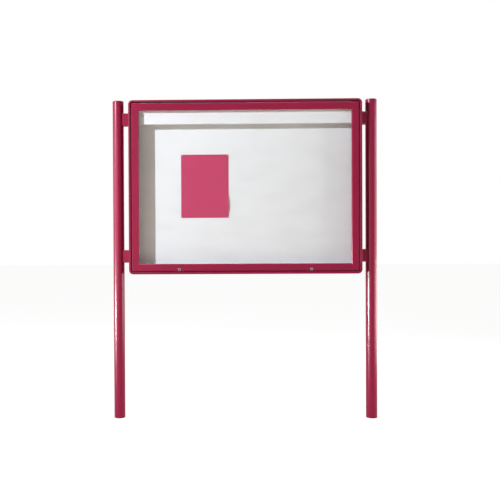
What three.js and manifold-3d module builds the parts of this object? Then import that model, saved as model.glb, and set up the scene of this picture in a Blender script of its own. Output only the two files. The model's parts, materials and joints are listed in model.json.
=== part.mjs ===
// Outdoor notice display case: a glazed case with a top-hung door, carried between two round posts.
// Millimetres, +Z up. The origin is at ground level in the middle of the footprint, with the front
// towards -Y. Inside the case, "inset" is measured inwards from the case's outer faces, and "depth"
// backwards from its front.
import * as THREE from "three";
import { mergeVertices } from "three/addons/utils/BufferGeometryUtils.js";
import Module from "manifold-3d";

const wasm = await Module();
wasm.setup();

// Clearances
const seatGap = 0.3;
const mitreGap = 0.15;
const cutOverrun = 4;

// Smoothness of round faces, in steps
const postSteps = 36;
const smallRoundSteps = 16;
const tinyRoundSteps = 12;
const cornerSteps = 6;
const capRoundSteps = 4;
const filletSteps = 3;
const hexagonSides = 6;

// Posts
const postHeight = 2000;
const postDiameter = 70;
const postWall = 3;
const postCapHeight = 15;
const postCapRound = 5;
const postCapCrown = 1.5;
const postCapPlugLength = 22;

// Case
const caseWidth = 1450;
const caseHeight = 1085;
const caseDepth = 90;
const caseCornerRadius = 27;
const caseBelowPostTop = 7;
const caseFrontStandoff = 66;
const caseWall = 2.5;
const rimWidth = 13;
const rimDepth = 14;
const rimRound = 2;
const spigotLength = 25;
const ventLength = 40;
const ventWidth = 5;
const ventSpacing = 520;
const ventDepth = 56;

// Brackets between the posts and the case
const bracketLength = 35;
const bracketHeight = 80;
const bracketDepth = 44;
const bracketRound = 6;
const bracketFromCaseEdge = 112;
const bracketNeckLength = 4;
const bracketNeckStep = 2;
const bracketPocketWall = 5;
const bracketBoltRadius = 4;
const bracketBoltHeadWidth = 13;
const bracketBoltHeadHeight = 5.3;
const bracketBoltReach = 22;

// Door
const doorGap = 6.5;
const doorProfileWidth = 46;
const doorDepth = 24;
const doorTubeWidth = 30;
const doorWall = 2.5;
const doorOuterWall = 4;
const doorEdgeChamfer = 3;
const doorLipThickness = 5;
const doorLipBevel = 3.5;

// Glazing
const glassThickness = 4;
const glassEdgeClear = 3;
const glazingSealThickness = 1.4;
const glazingSealBehindLip = 2;
const beadBehindLip = 1;
const beadWall = 1.5;
const beadNose = 3;
const beadSlope = 3;

// Door gasket and the stop ledge that carries it
const gasketThickness = 4;
const gasketRound = 1;
const gasketSideInset = 20.5;
const gasketSideWidth = 6;
const gasketLongInset = 40;
const gasketLongWidth = 8;
const ledgeThickness = 2.5;
const ledgeMargin = 4;
const ledgeNotchHalf = 31;

// Back of the case
const panelSeatDepth = 78;
const panelSeatReach = 14;
const panelSeatThickness = 2;
const backPanelThickness = 1.5;
const rearCoverThickness = 2;
const swageCount = 4;
const swageWidth = 60;
const swageHeight = 5;
const swageLengthShare = 0.86;
const swageRoundShare = 0.35;

// Header panel inside the top of the case
const headerFront = 27;
const headerDrop = 82;
const headerThickness = 1.5;
const headerHem = 9;
const headerSideInset = 40;
const headerBracketWidth = 30;
const headerBracketThickness = 2;
const headerBracketFromOpening = 25;
const headerBracketDrop = 50;
const headerBracketRise = 24;

// Continuous hinge in the gap above the door
const hingeAxisDepth = 4.5;
const hingeFromCaseSide = 75;
const hingeKnuckles = 17;
const hingeKnuckleRadius = 2.7;
const hingeHoleRadius = 1.55;
const hingePinRadius = 1.2;
const hingeLeafThickness = 1.2;
const hingeDoorLeafDepth = 15;
const hingeKnuckleGap = 0.5;

// Locks in the door's bottom rail
const lockSpacing = 820;
const lockFromDoorEdge = 10.5;
const lockFlangeRadius = 8;
const lockFlangeThickness = 1.2;
const lockBarrelRadius = 7.5;
const lockBarrelTail = 4;
const lockCoreRadius = 5.5;
const lockKeyWidth = 1.4;
const lockKeyHeight = 6.5;
const lockKeyDepth = 12;
const camThickness = 2.5;
const camBehindLedge = 2;
const camToKeeper = 0.5;
const camLength = 23;
const camHalfWidth = 6;
const camTailWidth = 5;
const keeperThickness = 3;
const keeperWidth = 24;
const keeperHeight = 9.5;
const keeperFoot = 22;

// Gas struts at the case's two sides
const strutInset = 37;
const strutBelowHinge = 180;
const strutDoorPivotDepth = 42;
const strutCasePivotDepth = 60;
const strutPivotDrop = 400;
const strutTubeRadius = 7.5;
const strutBoreRadius = 6;
const strutRodRadius = 3;
const strutTubeLength = 270;
const strutRodLength = 340;
const strutNeckRadius = 4;
const strutNeckLength = 22;
const strutGuideLength = 8;
const strutEyeRadius = 8;
const strutEyeWidth = 8;
const strutPinRadius = 3;
const strutPlungerRadius = 5.6;
const strutPlungerLength = 10;
const strutPinHeadRadius = 4.5;
const strutPinHeadWidth = 2;
const strutBracketWall = 3;
const strutBracketLength = 40;
const strutBracketClear = 1;
const strutPlateSize = 30;
const strutPlateThickness = 2.5;
const strutBossRadius = 5;

// Notice and its four magnets
const noticeWidth = 300;
const noticeHeight = 400;
const noticeThickness = 0.6;
const noticeFromCentreX = -249;
const noticeFromCentreZ = 10.5;
const magnetRadius = 3.4;
const magnetHeight = 8.5;
const magnetInset = 5;
const magnetProfileShares = [
  [0, 0],
  [1, 0],
  [1, 0.25],
  [0.72, 0.5],
  [0.72, 0.75],
  [0.9, 0.92],
  [0.72, 1],
  [0, 1],
];

// Places that follow from the sizes
const postRadius = postDiameter / 2;
const frontReach = caseFrontStandoff + seatGap + lockFlangeThickness;
const postAxisY = (frontReach - postRadius) / 2;
const postAxisX = caseWidth / 2 + bracketLength + postRadius;
const caseFrontY = postAxisY - caseFrontStandoff;
const caseTopZ = postHeight - caseBelowPostTop;
const caseMiddleZ = caseTopZ - caseHeight / 2;
const doorInset = rimWidth + doorGap;
const doorWidth = caseWidth - 2 * doorInset;
const doorHeight = caseHeight - 2 * doorInset;
const doorCornerRadius = caseCornerRadius - doorInset;
const openingInset = doorInset + doorProfileWidth;
const ledgeFront = doorDepth + gasketThickness;
const ledgeBack = ledgeFront + ledgeThickness;
const ledgeLongReach = gasketLongInset + gasketLongWidth + ledgeMargin;
const ledgeSideReach = caseCornerRadius - seatGap;
const panelFront = panelSeatDepth - seatGap - backPanelThickness;
const hingeAxisInset = rimWidth + doorGap / 2;
const hingeAxisZ = caseHeight / 2 - hingeAxisInset;
const hingeLength = caseWidth - 2 * hingeFromCaseSide;
const lockInset = doorInset + lockFromDoorEdge;
const camFront = ledgeFront + camBehindLedge;
const glassInset = doorTubeWidth + glassEdgeClear;
const glassFront = doorLipThickness + 2 * seatGap + glazingSealThickness;
const glassBack = glassFront + glassThickness;
const glazingSealReach = doorProfileWidth - glazingSealBehindLip;
const beadReach = doorProfileWidth - beadBehindLip;

// Materials
const paint = new THREE.MeshStandardMaterial({ color: 0x9c2446, roughness: 0.32, metalness: 0.05 });
const whitePaint = new THREE.MeshStandardMaterial({ color: 0xe9e8ea, roughness: 0.45, metalness: 0.0 });
const greyPaint = new THREE.MeshStandardMaterial({ color: 0xb9bbbd, roughness: 0.5, metalness: 0.1 });
const clearGlass = new THREE.MeshStandardMaterial({
  color: 0xdfe9e6,
  roughness: 0.03,
  transparent: true,
  opacity: 0.25,
});
const blackRubber = new THREE.MeshStandardMaterial({ color: 0x17120f, roughness: 0.85 });
const chrome = new THREE.MeshStandardMaterial({ color: 0xc8c9cb, roughness: 0.18, metalness: 1.0 });
const zincSteel = new THREE.MeshStandardMaterial({ color: 0x9da0a3, roughness: 0.38, metalness: 0.9 });
const blackSteel = new THREE.MeshStandardMaterial({ color: 0x1b1817, roughness: 0.42, metalness: 0.4 });
const paper = new THREE.MeshStandardMaterial({ color: 0xc0336a, roughness: 0.8 });
const palePlastic = new THREE.MeshStandardMaterial({ color: 0xe2dede, roughness: 0.35 });

// Solids: closed geometries are joined and cut as solids, and come back as geometries
function solid(geometry) {
  const bare = geometry.clone();
  bare.deleteAttribute("normal");
  bare.deleteAttribute("uv");
  const merged = mergeVertices(bare);
  return new wasm.Manifold(
    new wasm.Mesh({
      numProp: 3,
      vertProperties: merged.attributes.position.array,
      triVerts: new Uint32Array(merged.index.array),
    }),
  );
}

function surface(body) {
  const mesh = body.getMesh();
  const geometry = new THREE.BufferGeometry();
  geometry.setAttribute("position", new THREE.BufferAttribute(mesh.vertProperties, 3));
  geometry.setIndex(new THREE.BufferAttribute(mesh.triVerts, 1));
  geometry.computeVertexNormals();
  return geometry;
}

function join(first, ...others) {
  return surface(others.reduce((body, other) => body.add(solid(other)), solid(first)));
}

function cut(first, ...tools) {
  return surface(tools.reduce((body, tool) => body.subtract(solid(tool)), solid(first)));
}

function common(first, second) {
  return surface(solid(first).intersect(solid(second)));
}

// Outlines: a closed outline from corner points [x, y] or [x, y, fillet]
function pointTowards(x, y, target, distance) {
  const away = new THREE.Vector2(target[0] - x, target[1] - y).setLength(distance);
  return new THREE.Vector2(x, y).add(away);
}

function outline(points) {
  const shape = new THREE.Shape();
  points.forEach(([x, y, fillet = 0], index) => {
    const before = points[(index + points.length - 1) % points.length];
    const after = points[(index + 1) % points.length];
    const start = pointTowards(x, y, before, fillet);
    const end = pointTowards(x, y, after, fillet);
    if (index === 0) {
      shape.moveTo(start.x, start.y);
    } else {
      shape.lineTo(start.x, start.y);
    }
    if (fillet > 0) {
      shape.quadraticCurveTo(x, y, end.x, end.y);
    }
  });
  shape.closePath();
  return shape;
}

function roundedRectangle(width, height, radius) {
  const right = width / 2 - radius;
  const top = height / 2 - radius;
  const shape = new THREE.Shape();
  shape.absarc(right, top, radius, 0, Math.PI / 2);
  shape.absarc(-right, top, radius, Math.PI / 2, Math.PI);
  shape.absarc(-right, -top, radius, Math.PI, Math.PI * 1.5);
  shape.absarc(right, -top, radius, Math.PI * 1.5, Math.PI * 2);
  shape.closePath();
  return shape;
}

function rectangle(left, bottom, right, top) {
  return outline([
    [left, bottom],
    [right, bottom],
    [right, top],
    [left, top],
  ]);
}

// A slab stands upright: its shape lies in X and Z, and its thickness runs back from the front depth
function slab(shape, front, thickness, bevel = {}) {
  const geometry = new THREE.ExtrudeGeometry(shape, {
    depth: thickness,
    bevelEnabled: false,
    curveSegments: cornerSteps,
    ...bevel,
  });
  geometry.rotateX(Math.PI / 2);
  geometry.translate(0, front + thickness, 0);
  return geometry;
}

function box(left, right, front, back, bottom, top) {
  const geometry = new THREE.BoxGeometry(right - left, back - front, top - bottom);
  geometry.translate((left + right) / 2, (front + back) / 2, (bottom + top) / 2);
  return geometry;
}

function cylinderAlongY(radius, front, back, steps) {
  const geometry = new THREE.CylinderGeometry(radius, radius, back - front, steps);
  geometry.translate(0, (front + back) / 2, 0);
  return geometry;
}

function cylinderAlongX(radius, left, right, steps) {
  const geometry = new THREE.CylinderGeometry(radius, radius, right - left, steps);
  geometry.rotateZ(-Math.PI / 2);
  geometry.translate((left + right) / 2, 0, 0);
  return geometry;
}

// A profile drawn in depth and height, run along X
function runAlongX(profile, left, right) {
  const geometry = new THREE.ExtrudeGeometry(profile, {
    depth: right - left,
    bevelEnabled: false,
    curveSegments: filletSteps,
  });
  const axes = [new THREE.Vector3(0, 1, 0), new THREE.Vector3(0, 0, 1), new THREE.Vector3(1, 0, 0)];
  geometry.applyMatrix4(new THREE.Matrix4().makeBasis(...axes));
  geometry.translate(left, 0, 0);
  return geometry;
}

// A revolved piece about Z from a profile of [radius, height] points
function revolve(profile, steps) {
  const points = profile.map(([radius, height]) => new THREE.Vector2(radius, height));
  const geometry = new THREE.LatheGeometry(points, steps);
  geometry.rotateX(Math.PI / 2);
  return geometry;
}

// Frame members are drawn as the top member, running along X with inset downwards and depth backwards
function sweepSection(section, steps, place) {
  const geometry = new THREE.ExtrudeGeometry(section, {
    depth: 1,
    steps,
    bevelEnabled: false,
    curveSegments: filletSteps,
  });
  const at = geometry.attributes.position;
  for (let i = 0; i < at.count; i += 1) {
    const [x, z] = place(at.getX(i), at.getZ(i));
    at.setXYZ(i, x, at.getY(i), z);
  }
  return geometry;
}

function squareBar(section, length) {
  return sweepSection(section, 1, (inset, share) => [(share - 0.5) * length, -inset]);
}

function mitredBar(section, length) {
  return sweepSection(section, 1, (inset, share) => {
    const reach = length / 2 - inset - mitreGap;
    return [(2 * share - 1) * reach, -inset];
  });
}

function quarterTurn(section, radius) {
  return sweepSection(section, cornerSteps, (inset, share) => {
    const angle = (share * Math.PI) / 2;
    return [(radius - inset) * Math.sin(angle), (radius - inset) * Math.cos(angle)];
  });
}

// The four sides of a frame: turns about Y carry the top member to each side
const frameSides = [
  { name: "top", long: true, turn: 0, x: 0, z: 1 },
  { name: "right", long: false, turn: Math.PI / 2, x: 1, z: 0 },
  { name: "bottom", long: true, turn: Math.PI, x: 0, z: -1 },
  { name: "left", long: false, turn: -Math.PI / 2, x: -1, z: 0 },
];

function onFrameSide(mesh, side, width, height, front) {
  mesh.rotation.y = side.turn;
  mesh.position.set((side.x * width) / 2, front, (side.z * height) / 2);
}

const leftAndRight = [
  { name: "left", x: -1 },
  { name: "right", x: 1 },
];

function piece(name, geometry, material, parent) {
  const mesh = new THREE.Mesh(geometry, material);
  mesh.name = name;
  parent.add(mesh);
  return mesh;
}

const display = new THREE.Group();
const caseGroup = new THREE.Group();
caseGroup.position.set(0, caseFrontY, caseMiddleZ);
display.add(caseGroup);

// Posts with their end caps
function postTube() {
  const inner = postRadius - postWall;
  const top = postHeight - postCapHeight;
  return revolve(
    [
      [inner, 0],
      [postRadius, 0],
      [postRadius, top],
      [inner, top],
      [inner, 0],
    ],
    postSteps,
  );
}

function postCap() {
  const plugRadius = postRadius - postWall - seatGap;
  const seam = postHeight - postCapHeight + seatGap;
  const shoulder = postHeight - postCapCrown;
  const roundStart = shoulder - postCapRound;
  const roundCentre = postRadius - postCapRound;
  const profile = [
    [0, seam - postCapPlugLength],
    [plugRadius - postWall, seam - postCapPlugLength],
    [plugRadius, seam - postCapPlugLength + postWall],
    [plugRadius, seam],
    [postRadius, seam],
  ];
  for (let step = 0; step <= capRoundSteps; step += 1) {
    const angle = (step / capRoundSteps) * (Math.PI / 2);
    const radius = roundCentre + postCapRound * Math.cos(angle);
    profile.push([radius, roundStart + postCapRound * Math.sin(angle)]);
  }
  profile.push([0, postHeight]);
  return revolve(profile, postSteps);
}

for (const side of leftAndRight) {
  const tube = piece(`post_${side.name}`, postTube(), paint, display);
  tube.position.set(side.x * postAxisX, postAxisY, 0);
  const cap = piece(`post_cap_${side.name}`, postCap(), paint, display);
  cap.position.set(side.x * postAxisX, postAxisY, 0);
}

// Brackets: a block with rounded long edges, saddled to the post, with a neck where it meets the case
function bracketBlock() {
  const neckStart = seatGap + bracketNeckLength;
  const section = roundedRectangle(bracketHeight, bracketDepth, bracketRound);
  const body = new THREE.ExtrudeGeometry(section, {
    depth: bracketLength + postRadius - neckStart,
    bevelEnabled: false,
    curveSegments: filletSteps,
  });
  body.rotateY(Math.PI / 2);
  body.translate(neckStart, 0, 0);
  const neckDepth = bracketDepth / 2 - bracketNeckStep;
  const neckHeight = bracketHeight / 2 - bracketNeckStep;
  const neck = box(seatGap, neckStart + cutOverrun, -neckDepth, neckDepth, -neckHeight, neckHeight);
  const post = new THREE.CylinderGeometry(
    postRadius + seatGap,
    postRadius + seatGap,
    bracketHeight + 2 * cutOverrun,
    postSteps,
  );
  post.rotateX(Math.PI / 2);
  post.translate(bracketLength + postRadius, 0, 0);
  const bore = cylinderAlongX(
    bracketBoltRadius + seatGap,
    -cutOverrun,
    bracketBoltReach + seatGap,
    tinyRoundSteps,
  );
  const pocket = box(
    neckStart + bracketPocketWall,
    bracketLength + postRadius,
    0,
    bracketDepth,
    bracketPocketWall - bracketHeight / 2,
    bracketHeight / 2 - bracketPocketWall,
  );
  const ribHalf = bracketBoltRadius + bracketPocketWall;
  const rib = box(neckStart, bracketLength + postRadius, 0, bracketDepth / 2, -ribHalf, ribHalf);
  return cut(join(cut(join(body, neck), pocket), common(rib, body)), post, bore);
}

function bracketBolt() {
  const head = new THREE.CylinderGeometry(
    bracketBoltHeadWidth / 2,
    bracketBoltHeadWidth / 2,
    bracketBoltHeadHeight,
    hexagonSides,
  );
  head.rotateZ(-Math.PI / 2);
  head.translate(-caseWall - seatGap - bracketBoltHeadHeight / 2, 0, 0);
  const shank = cylinderAlongX(
    bracketBoltRadius,
    -caseWall - seatGap - bracketBoltHeadHeight / 2,
    bracketBoltReach,
    tinyRoundSteps,
  );
  return join(head, shank);
}

const bracketHeights = [
  { name: "top", z: caseHeight / 2 - bracketFromCaseEdge },
  { name: "bottom", z: bracketFromCaseEdge - caseHeight / 2 },
];

for (const side of leftAndRight) {
  for (const height of bracketHeights) {
    const place = new THREE.Group();
    place.position.set((side.x * caseWidth) / 2, caseFrontStandoff, height.z);
    place.scale.x = side.x;
    caseGroup.add(place);
    piece(`bracket_${side.name}_${height.name}`, bracketBlock(), paint, place);
    piece(`bracket_bolt_${side.name}_${height.name}`, bracketBolt(), zincSteel, place);
  }
}

// Case: four extruded rails with square ends, plugged onto four rounded corner pieces
function caseSection(ledgeReach, chamber) {
  const ledge = [
    [caseWall, ledgeFront],
    [ledgeReach, ledgeFront],
    [ledgeReach, ledgeBack],
    [caseWall, ledgeBack],
  ];
  const section = outline([
    [0, 0, rimRound],
    [rimWidth, 0, rimRound],
    [rimWidth, rimDepth],
    [caseWall, rimDepth],
    ...(ledgeReach > 0 ? ledge : []),
    [caseWall, panelSeatDepth],
    [panelSeatReach, panelSeatDepth],
    [panelSeatReach, panelSeatDepth + panelSeatThickness],
    [caseWall, panelSeatDepth + panelSeatThickness],
    [caseWall, caseDepth],
    [0, caseDepth],
  ]);
  if (chamber) {
    section.holes.push(rectangle(caseWall, caseWall, rimWidth - caseWall, rimDepth - caseWall));
  }
  return section;
}

function bottomRailCuts() {
  const notches = leftAndRight.map((side) => {
    const x = (side.x * lockSpacing) / 2;
    return box(
      x - ledgeNotchHalf,
      x + ledgeNotchHalf,
      ledgeFront - seatGap,
      ledgeBack + seatGap,
      seatGap - gasketLongInset,
      -caseWall,
    );
  });
  const vents = leftAndRight.map((side) => {
    const x = (side.x * ventSpacing) / 2;
    const front = ventDepth - ventWidth / 2;
    return box(
      x - ventLength / 2,
      x + ventLength / 2,
      front,
      front + ventWidth,
      -caseWall - seatGap,
      cutOverrun,
    );
  });
  return [...notches, ...vents];
}

function sideRailCuts() {
  return bracketHeights.map((height) => {
    const hole = new THREE.CylinderGeometry(
      bracketBoltRadius + seatGap,
      bracketBoltRadius + seatGap,
      2 * cutOverrun,
      tinyRoundSteps,
    );
    hole.rotateX(Math.PI / 2);
    hole.translate(height.z, caseFrontStandoff, 0);
    return hole;
  });
}

for (const side of frameSides) {
  const reach = side.long ? ledgeLongReach : ledgeSideReach;
  const length = (side.long ? caseWidth : caseHeight) - 2 * (caseCornerRadius + seatGap);
  const plain = squareBar(caseSection(reach, true), length);
  const cuts = { top: [], bottom: bottomRailCuts(), left: sideRailCuts(), right: sideRailCuts() };
  const rail = piece(`case_rail_${side.name}`, cut(plain, ...cuts[side.name]), paint, caseGroup);
  onFrameSide(rail, side, caseWidth, caseHeight, 0);
}

function caseCorner() {
  const near = caseWall + seatGap;
  const far = rimWidth - caseWall - seatGap;
  const back = rimDepth - caseWall - seatGap;
  const low = caseCornerRadius - far;
  const high = caseCornerRadius - near;
  const intoLong = box(-spigotLength, caseWall, near, back, low, high);
  const intoSide = box(low, high, near, back, -spigotLength, caseWall);
  return join(quarterTurn(caseSection(0, false), caseCornerRadius), intoLong, intoSide);
}

const caseCorners = [
  { name: "top_right", x: 1, z: 1, turn: 0 },
  { name: "bottom_right", x: 1, z: -1, turn: Math.PI / 2 },
  { name: "bottom_left", x: -1, z: -1, turn: Math.PI },
  { name: "top_left", x: -1, z: 1, turn: -Math.PI / 2 },
];

for (const corner of caseCorners) {
  const mesh = piece(`case_corner_${corner.name}`, caseCorner(), paint, caseGroup);
  mesh.rotation.y = corner.turn;
  mesh.position.x = corner.x * (caseWidth / 2 - caseCornerRadius);
  mesh.position.z = corner.z * (caseHeight / 2 - caseCornerRadius);
}

// Display panel and rear cover, on the two faces of the seat that runs round the case
const innerWidth = caseWidth - 2 * (caseWall + seatGap);
const innerHeight = caseHeight - 2 * (caseWall + seatGap);
const innerRadius = caseCornerRadius - caseWall - seatGap;

function innerSheet(front, thickness) {
  return slab(roundedRectangle(innerWidth, innerHeight, innerRadius), front, thickness);
}

function taperedPad(width, height, front, thickness, taper) {
  const shape = roundedRectangle(width, height, width * swageRoundShare);
  const geometry = slab(shape, front, thickness, { curveSegments: filletSteps });
  const at = geometry.attributes.position;
  for (let i = 0; i < at.count; i += 1) {
    if (at.getY(i) > front + thickness / 2) {
      at.setX(i, at.getX(i) * (1 - (2 * taper) / width));
      at.setZ(i, at.getZ(i) * (1 - (2 * taper) / height));
    }
  }
  return geometry;
}

function rearCover() {
  const front = panelSeatDepth + panelSeatThickness + seatGap;
  const back = front + rearCoverThickness;
  const height = innerHeight * swageLengthShare;
  const pads = [];
  const pockets = [];
  for (let index = 0; index < swageCount; index += 1) {
    const x = ((index + 0.5) / swageCount - 0.5) * innerWidth;
    const pad = taperedPad(swageWidth, height, front, rearCoverThickness + swageHeight, swageHeight);
    const hollow = 2 * rearCoverThickness;
    const pocket = taperedPad(
      swageWidth - hollow,
      height - hollow,
      front - seatGap,
      swageHeight + seatGap,
      swageHeight,
    );
    pads.push(pad.translate(x, 0, 0));
    pockets.push(pocket.translate(x, 0, 0));
  }
  return cut(join(innerSheet(front, back - front), ...pads), ...pockets);
}

piece("back_panel", innerSheet(panelFront, backPanelThickness), whitePaint, caseGroup);
piece("rear_cover", rearCover(), greyPaint, caseGroup);

// Header panel, hung from the top ledge on two strips
const headerTop = caseHeight / 2 - ledgeLongReach - seatGap;
const headerBottom = caseHeight / 2 - openingInset - headerDrop;
const headerBack = headerFront + headerThickness;
const headerHalf = caseWidth / 2 - headerSideInset;

function headerPanel() {
  return runAlongX(
    outline([
      [headerFront, headerBottom, headerThickness / 2],
      [headerFront + headerHem, headerBottom],
      [headerFront + headerHem, headerBottom + headerThickness],
      [headerBack, headerBottom + headerThickness],
      [headerBack, headerTop],
      [headerFront, headerTop],
    ]),
    -headerHalf,
    headerHalf,
  );
}

function headerBracket() {
  const upperFront = ledgeBack + seatGap;
  const upperBack = upperFront + headerBracketThickness;
  const lowerFront = headerBack + seatGap;
  const lowerBack = lowerFront + headerBracketThickness;
  const shelf = headerTop - headerBracketThickness;
  return runAlongX(
    outline([
      [upperFront, headerTop + headerBracketRise],
      [upperBack, headerTop + headerBracketRise],
      [upperBack, shelf],
      [lowerBack, shelf],
      [lowerBack, headerTop - headerBracketDrop],
      [lowerFront, headerTop - headerBracketDrop],
      [lowerFront, headerTop],
      [upperFront, headerTop],
    ]),
    -headerBracketWidth / 2,
    headerBracketWidth / 2,
  );
}

piece("header_panel", headerPanel(), whitePaint, caseGroup);
for (const side of leftAndRight) {
  const strip = piece(`header_bracket_${side.name}`, headerBracket(), zincSteel, caseGroup);
  strip.position.x = side.x * (caseWidth / 2 - openingInset - headerBracketFromOpening);
}

// Door gasket on the front of the stop ledge
function doorGasket() {
  const sideInner = gasketSideInset + gasketSideWidth;
  const longInner = gasketLongInset + gasketLongWidth;
  const ring = rectangle(
    gasketSideInset - caseWidth / 2,
    gasketLongInset - caseHeight / 2,
    caseWidth / 2 - gasketSideInset,
    caseHeight / 2 - gasketLongInset,
  );
  ring.holes.push(
    rectangle(
      sideInner - caseWidth / 2,
      longInner - caseHeight / 2,
      caseWidth / 2 - sideInner,
      caseHeight / 2 - longInner,
    ),
  );
  return slab(ring, doorDepth + seatGap + gasketRound, gasketThickness - 2 * (seatGap + gasketRound), {
    bevelEnabled: true,
    bevelThickness: gasketRound,
    bevelSize: gasketRound,
    bevelOffset: -gasketRound,
    bevelSegments: 2,
  });
}

piece("door_gasket", doorGasket(), blackRubber, caseGroup);

// Door: four mitred members cut to a chamfered outline with rounded corners
const doorGroup = new THREE.Group();
caseGroup.add(doorGroup);

function doorMember(section, side) {
  const length = side.long ? doorWidth : doorHeight;
  const member = mitredBar(section, length);
  member.rotateY(side.turn);
  member.translate((side.x * doorWidth) / 2, 0, (side.z * doorHeight) / 2);
  return member;
}

function doorSection() {
  const section = outline([
    [0, 0],
    [doorProfileWidth - doorLipBevel, 0],
    [doorProfileWidth, doorLipBevel],
    [doorProfileWidth, doorLipThickness],
    [doorTubeWidth, doorLipThickness],
    [doorTubeWidth, doorDepth],
    [0, doorDepth],
  ]);
  section.holes.push(rectangle(doorOuterWall, doorWall, doorTubeWidth - doorWall, doorDepth - doorWall));
  return section;
}

function doorBlank() {
  return slab(
    roundedRectangle(doorWidth, doorHeight, doorCornerRadius),
    doorEdgeChamfer,
    doorDepth + cutOverrun,
    {
      bevelEnabled: true,
      bevelThickness: doorEdgeChamfer,
      bevelSize: doorEdgeChamfer,
      bevelOffset: -doorEdgeChamfer,
      bevelSegments: 1,
    },
  );
}

function lockBores() {
  return leftAndRight.map((side) => {
    const bore = cylinderAlongY(
      lockBarrelRadius + seatGap,
      -cutOverrun,
      doorDepth + cutOverrun,
      smallRoundSteps,
    );
    return bore.translate((side.x * lockSpacing) / 2, 0, lockInset - caseHeight / 2);
  });
}

for (const side of frameSides) {
  const whole = common(doorMember(doorSection(), side), doorBlank());
  const member = side.name === "bottom" ? cut(whole, ...lockBores()) : whole;
  const kind = side.long ? "rail" : "stile";
  piece(`door_${kind}_${side.name}`, member, paint, doorGroup);
}

// Glazing: a seal behind the door's lip, the pane, and a bead on each side that holds it
function doorRectangle(inset) {
  return rectangle(
    inset - doorWidth / 2,
    inset - doorHeight / 2,
    doorWidth / 2 - inset,
    doorHeight / 2 - inset,
  );
}

function glazingSeal() {
  const ring = doorRectangle(doorTubeWidth + seatGap);
  ring.holes.push(doorRectangle(glazingSealReach));
  return slab(ring, doorLipThickness + seatGap, glazingSealThickness);
}

function beadSection() {
  const near = doorTubeWidth + seatGap;
  const front = glassBack + seatGap;
  const nose = front + beadNose;
  const rear = beadReach - beadSlope;
  return outline([
    [near, front],
    [beadReach, front],
    [beadReach, nose],
    [rear, doorDepth],
    [rear - beadWall, doorDepth],
    [rear - beadWall, front + beadWall],
    [near + beadWall, front + beadWall],
    [near + beadWall, doorDepth],
    [near, doorDepth],
  ]);
}

piece("glazing", slab(doorRectangle(glassInset), glassFront, glassThickness), clearGlass, doorGroup);
piece("glazing_seal", glazingSeal(), blackRubber, doorGroup);
for (const side of frameSides) {
  piece(`glazing_bead_${side.name}`, doorMember(beadSection(), side), paint, doorGroup);
}

// Continuous hinge: the knuckles of the two leaves take turns along one pin
const knucklePitch = hingeLength / hingeKnuckles;

function hingeKnuckle(index, radius, spare) {
  const left = index * knucklePitch - hingeLength / 2;
  const gap = hingeKnuckleGap / 2 - spare;
  const barrel = cylinderAlongX(radius, left + gap, left + knucklePitch - gap, tinyRoundSteps);
  return barrel.translate(0, hingeAxisDepth, hingeAxisZ);
}

function hingeLeaf(plate, parity) {
  const own = [];
  const others = [];
  for (let index = 0; index < hingeKnuckles; index += 1) {
    if (index % 2 === parity) {
      own.push(hingeKnuckle(index, hingeKnuckleRadius, 0));
    } else {
      others.push(hingeKnuckle(index, hingeKnuckleRadius + seatGap, hingeKnuckleGap / 2));
    }
  }
  const hole = cylinderAlongX(
    hingeHoleRadius,
    -hingeLength / 2 - cutOverrun,
    hingeLength / 2 + cutOverrun,
    tinyRoundSteps,
  );
  hole.translate(0, hingeAxisDepth, hingeAxisZ);
  return cut(join(plate, ...own), hole, ...others);
}

function hingeCaseLeaf() {
  const top = caseHeight / 2 - rimWidth - seatGap;
  const half = hingeLength / 2 - hingeKnuckleGap;
  const plate = box(-half, half, hingeAxisDepth, rimDepth, top - hingeLeafThickness, top);
  return hingeLeaf(plate, 0);
}

function hingeDoorLeaf() {
  const bottom = caseHeight / 2 - doorInset + seatGap;
  const half = hingeLength / 2 - hingeKnuckleGap;
  const back = hingeAxisDepth + hingeDoorLeafDepth;
  const plate = box(-half, half, hingeAxisDepth, back, bottom, bottom + hingeLeafThickness);
  return hingeLeaf(plate, 1);
}

const pinHalf = hingeLength / 2;
const hingePin = cylinderAlongX(hingePinRadius, -pinHalf, pinHalf, tinyRoundSteps);
piece("hinge_case_leaf", hingeCaseLeaf(), blackSteel, caseGroup);
piece("hinge_pin", hingePin.translate(0, hingeAxisDepth, hingeAxisZ), zincSteel, caseGroup);
piece("hinge_door_leaf", hingeDoorLeaf(), blackSteel, doorGroup);

// Cam locks in the bottom rail, and the keepers that their cams turn down behind
function lockBarrel() {
  const flangeFront = -seatGap - lockFlangeThickness;
  const flange = cylinderAlongY(lockFlangeRadius, flangeFront, -seatGap, smallRoundSteps);
  const tube = cylinderAlongY(
    lockBarrelRadius,
    -seatGap - lockFlangeThickness / 2,
    doorDepth + lockBarrelTail,
    smallRoundSteps,
  );
  const bore = cylinderAlongY(
    lockCoreRadius + seatGap,
    flangeFront - cutOverrun,
    doorDepth + lockBarrelTail + cutOverrun,
    smallRoundSteps,
  );
  return cut(join(flange, tube), bore);
}

function lockCore() {
  const front = -lockFlangeThickness;
  const back = camFront - seatGap;
  const plug = cylinderAlongY(lockCoreRadius, front, back, smallRoundSteps);
  const half = camTailWidth / 2;
  const tail = box(-half, half, back - cutOverrun, camFront + camThickness + seatGap, -half, half);
  const keyway = box(
    -lockKeyHeight / 2,
    lockKeyHeight / 2,
    front - cutOverrun,
    front + lockKeyDepth,
    -lockKeyWidth / 2,
    lockKeyWidth / 2,
  );
  return cut(join(plug, tail), keyway);
}

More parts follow.
